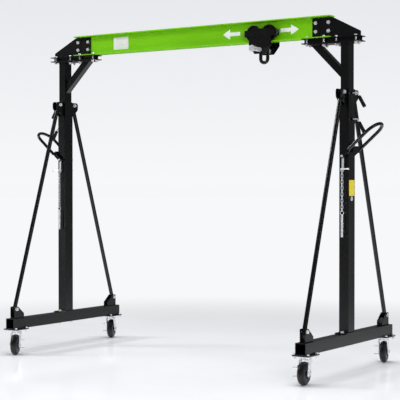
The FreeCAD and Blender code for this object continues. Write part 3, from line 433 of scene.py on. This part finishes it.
def weld(name, points, body):
    """A rippled bead round a closed path of straight runs, in metres."""
    bm = bmesh.new()
    for first, last in zip(points, points[1:] + points[:1]):
        run = last - first
        turn = run.to_track_quat("Z", "Y").to_matrix()
        count = max(2, round(run.length / BEAD_STEP))
        rings = []
        for k in range(count + 1):
            size = BEAD_RADIUS_MM * MM * (CREST if k % 2 else TROUGH)
            middle = first + run * (k / count)
            angles = [math.tau * j / BEAD_SIDES for j in range(BEAD_SIDES)]
            rings.append([bm.verts.new(middle + turn @ Vector((size * math.cos(a),
                                                               size * math.sin(a), 0)))
                          for a in angles])
        for near, beyond in zip(rings, rings[1:]):
            for j in range(BEAD_SIDES):
                after = (j + 1) % BEAD_SIDES
                bm.faces.new((near[j], near[after], beyond[after], beyond[j]))
        bm.faces.new(list(reversed(rings[0])))
        bm.faces.new(rings[-1])
    show(piece_from(bm, name, 60), body, powder_black, "black_powder_coat")


def loop_points(low, high, flat):
    """The corners of a rectangle that is flat along one axis."""
    a, b = [axis for axis in range(3) if axis != flat]
    corners = []
    for at_a, at_b in ((0, 0), (1, 0), (1, 1), (0, 1)):
        corner = Vector(low)
        corner[a] = (low, high)[at_a][a]
        corner[b] = (low, high)[at_b][b]
        corners.append(corner)
    return corners


for leg, side in (("left", -1), ("right", 1)):
    base_low, base_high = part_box(leg + "_base_beam")
    post_x = (base_low.x + base_high.x) / 2
    seat = base_high.z + FOOT_THICK
    weld(leg + "_post_weld", loop_points((post_x - POST_HALF_X, -POST_HALF_Y, seat),
                                         (post_x + POST_HALF_X, POST_HALF_Y, seat), 2),
         leg + "_leg")
    low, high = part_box(leg + "_strut")
    at_mast, far_end = (high.x, low.x) if side > 0 else (low.x, high.x)
    body = body_of[leg + "_strut"]
    weld(leg + "_strut_mast_weld", loop_points((at_mast, low.y, low.z),
                                               (at_mast, high.y, low.z + STRUT_CUT), 0), body)
    weld(leg + "_strut_plate_weld", loop_points((far_end, low.y, high.z),
                                                (far_end + side * STRUT_CUT, high.y, high.z), 2),
         body)

# %% [markdown]
# ## Labels and arrows
# Two arrows on the web show the travel of the trolley. They are paint, a fraction of a
# millimetre proud. Labels are thin vinyl with rounded corners, and are left blank. A small
# plated button sits under the label on the right post.

# %% Labels and arrows
WEB_FACE = 3.02 * MM
ARROW_AT = (("left", 0.312, -1), ("right", 0.785, 1))
ARROW = [(-72, -13), (12, -13), (12, -36), (72, 0), (12, 36), (12, 13), (-72, 13)]
ARROW_THICK_MM = 0.25
PLATE_X, PLATE_SIZE_MM, PLATE_THICK_MM, PLATE_CORNER_MM = -0.675, (140, 92), 0.5, 6
LABEL_Z, LABEL_SIZE_MM, LABEL_THICK_MM, LABEL_CORNER_MM = 1.239, (78, 106), 0.3, 3
LABEL_LIFT = 0.02 * MM
BASE_HALF_MM, POST_HALF_MM = 38, 35
BADGE = [(0, 0.2), (0, 16), (1.2, 16), (2.0, 12), (2.2, 0.2)]
BADGE_Z, BADGE_STEPS = 1.168, 48


def flat_patch(name, outline, thick_mm, matrix, corner_mm=0.0):
    """A thin patch from an outline in mm, laid face up and then moved by a matrix."""
    bm = bmesh.new()
    bm.faces.new([bm.verts.new((x * MM, y * MM, 0)) for x, y in outline])
    if corner_mm:
        rounded(bm, bm.verts, corner_mm, 4)
    grown = bmesh.ops.extrude_face_region(bm, geom=list(bm.faces))
    lifted = [item for item in grown["geom"] if isinstance(item, bmesh.types.BMVert)]
    bmesh.ops.translate(bm, verts=lifted, vec=(0, 0, thick_mm * MM))
    bmesh.ops.recalc_face_normals(bm, faces=bm.faces)
    bmesh.ops.transform(bm, matrix=matrix, verts=bm.verts)
    return piece_from(bm, name)


def rectangle(width, height):
    """The outline of a rectangle round the origin."""
    return [(-width / 2, -height / 2), (width / 2, -height / 2),
            (width / 2, height / 2), (-width / 2, height / 2)]


FRONT = Matrix.Rotation(math.radians(90), 4, "X")
SIDE = Matrix.Rotation(math.radians(90), 4, "Z") @ FRONT
beam_low, beam_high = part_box("i_beam")
web_middle = (beam_low.z + beam_high.z) / 2
for name, x, flip in ARROW_AT:
    outline = [(flip * u, v) for u, v in ARROW]
    place = Matrix.Translation((x, -WEB_FACE, web_middle)) @ FRONT
    arrow = flat_patch(f"travel_arrow_{name}", outline, ARROW_THICK_MM, place)
    show(arrow, "upper_frame", paint_white, "green_enamel")
place = Matrix.Translation((PLATE_X, -WEB_FACE, web_middle)) @ FRONT
plate = flat_patch("rating_plate", rectangle(*PLATE_SIZE_MM), PLATE_THICK_MM, place,
                   PLATE_CORNER_MM)
show(plate, "upper_frame", vinyl_white, "green_enamel")
post_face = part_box("right_base_beam")[0].x + (BASE_HALF_MM + POST_HALF_MM) * MM
place = Matrix.Translation((post_face + LABEL_LIFT, 0, LABEL_Z)) @ SIDE
label = flat_patch("post_label", rectangle(*LABEL_SIZE_MM), LABEL_THICK_MM, place,
                   LABEL_CORNER_MM)
show(label, "right_leg", vinyl_yellow, "black_powder_coat")
badge = turned("post_badge", BADGE, Vector((post_face, 0, BADGE_Z)), (1, 0, 0), 0.3, BADGE_STEPS)
show(badge, "right_leg", zinc, "bright_zinc")

# %% [markdown]
# ## Studio
# The crane stands on a pale floor with a little gloss, in a white cove. Seen directly the
# cove is almost white. What the steel mirrors is a darker room with bright lamps, because an
# even white room would turn black paint grey. The floor fades into the cove with distance,
# so that no horizon shows.

# %% Studio
COVE_LOW, COVE_HIGH, COVE_TOP = "#F7F8FA", "#E6E8EC", 0.16
FLOOR_RADIUS, FLOOR_MOTTLE_MM = 90.0, 900
FADE_FROM, FADE_TO = 1.7, 5.0
HAZE_ON_THINGS = 0.3
ROOM_ON_THINGS, ROOM_MIRRORED = 0.62, 0.13

bm = bmesh.new()
bmesh.ops.create_circle(bm, cap_ends=True, segments=128, radius=FLOOR_RADIUS)
floor = piece_from(bm, "floor")
floor_paint, tree, shader, where = material("pale_floor", Metallic=0.0, Roughness=0.12)
floor_colour = ramp(tree, noise(tree, where, FLOOR_MOTTLE_MM), "#ECEDEF", "#F2F3F5", 0.3, 0.7)
tree.links.new(floor_colour, shader.inputs["Base Color"])
far = add(tree, "ShaderNodeVectorMath", {0: where}, operation="LENGTH").outputs["Value"]
fade = add(tree, "ShaderNodeMapRange", {"Value": far, "From Min": FADE_FROM, "From Max": FADE_TO},
           interpolation_type="SMOOTHSTEP").outputs["Result"]
seen = add(tree, "ShaderNodeLightPath").outputs["Is Camera Ray"]
haze = add(tree, "ShaderNodeEmission", {"Color": linear(COVE_LOW),
                                        "Strength": spread(tree, seen, HAZE_ON_THINGS, 1.0)})
blend = add(tree, "ShaderNodeMixShader", {0: fade, 1: shader.outputs["BSDF"],
                                          2: haze.outputs["Emission"]})
tree.links.new(blend.outputs["Shader"], tree.nodes["Material Output"].inputs["Surface"])
floor.data.materials.append(floor_paint)

world = bpy.data.worlds.new("studio")
scene.world = world
world.use_nodes = True
tree = world.node_tree
room = tree.nodes["Background"]
room.inputs["Color"].default_value = linear("#F2F4F8")
paths = add(tree, "ShaderNodeLightPath").outputs
room_level = spread(tree, paths["Is Glossy Ray"], ROOM_ON_THINGS, ROOM_MIRRORED)
tree.links.new(room_level, room.inputs["Strength"])
incoming = add(tree, "ShaderNodeNewGeometry").outputs["Incoming"]
upward = add(tree, "ShaderNodeSeparateXYZ", {0: incoming}).outputs["Z"]
height = add(tree, "ShaderNodeMath", {0: upward}, operation="ABSOLUTE").outputs["Value"]
cove = add(tree, "ShaderNodeBackground",
           {"Color": ramp(tree, height, COVE_LOW, COVE_HIGH, 0.0, COVE_TOP)})
either = add(tree, "ShaderNodeMixShader", {0: paths["Is Camera Ray"],
                                           1: room.outputs["Background"],
                                           2: cove.outputs["Background"]})
tree.links.new(either.outputs["Shader"], tree.nodes["World Output"].inputs["Surface"])


def softbox(name, place, aim, size, watts, mirrored=True):
    """A rectangular lamp that faces a point, and that steel may or may not mirror."""
    light = bpy.data.lights.new(name, "AREA")
    light.shape = "RECTANGLE"
    light.size, light.size_y = size
    light.energy = watts
    lamp = bpy.data.objects.new(name, light)
    lamp.location = place
    lamp.rotation_euler = (Vector(aim) - Vector(place)).to_track_quat("-Z", "Y").to_euler()
    lamp.visible_glossy = mirrored
    scene.collection.objects.link(lamp)


softbox("key_light", (-5.5, -2.6, 5.2), aim=(0, 0, 1.2), size=(1.2, 1.2), watts=230)
softbox("side_light", (6.0, -1.0, 2.6), aim=(0.6, 0, 1.2), size=(0.5, 4.0), watts=45)
softbox("top_light", (0.0, 0.5, 6.5), aim=(0, 0, 1.0), size=(6.0, 4.0), watts=460,
        mirrored=False)
softbox("fill_light", (6.0, -5.0, 3.0), aim=(0.5, 0, 1.5), size=(2.0, 2.0), watts=170,
        mirrored=False)
softbox("strip_light", (-4.5, -5.5, 0.95), aim=(0, 0, 0.95), size=(0.5, 1.5), watts=18)
scene.view_settings.view_transform = "Standard"
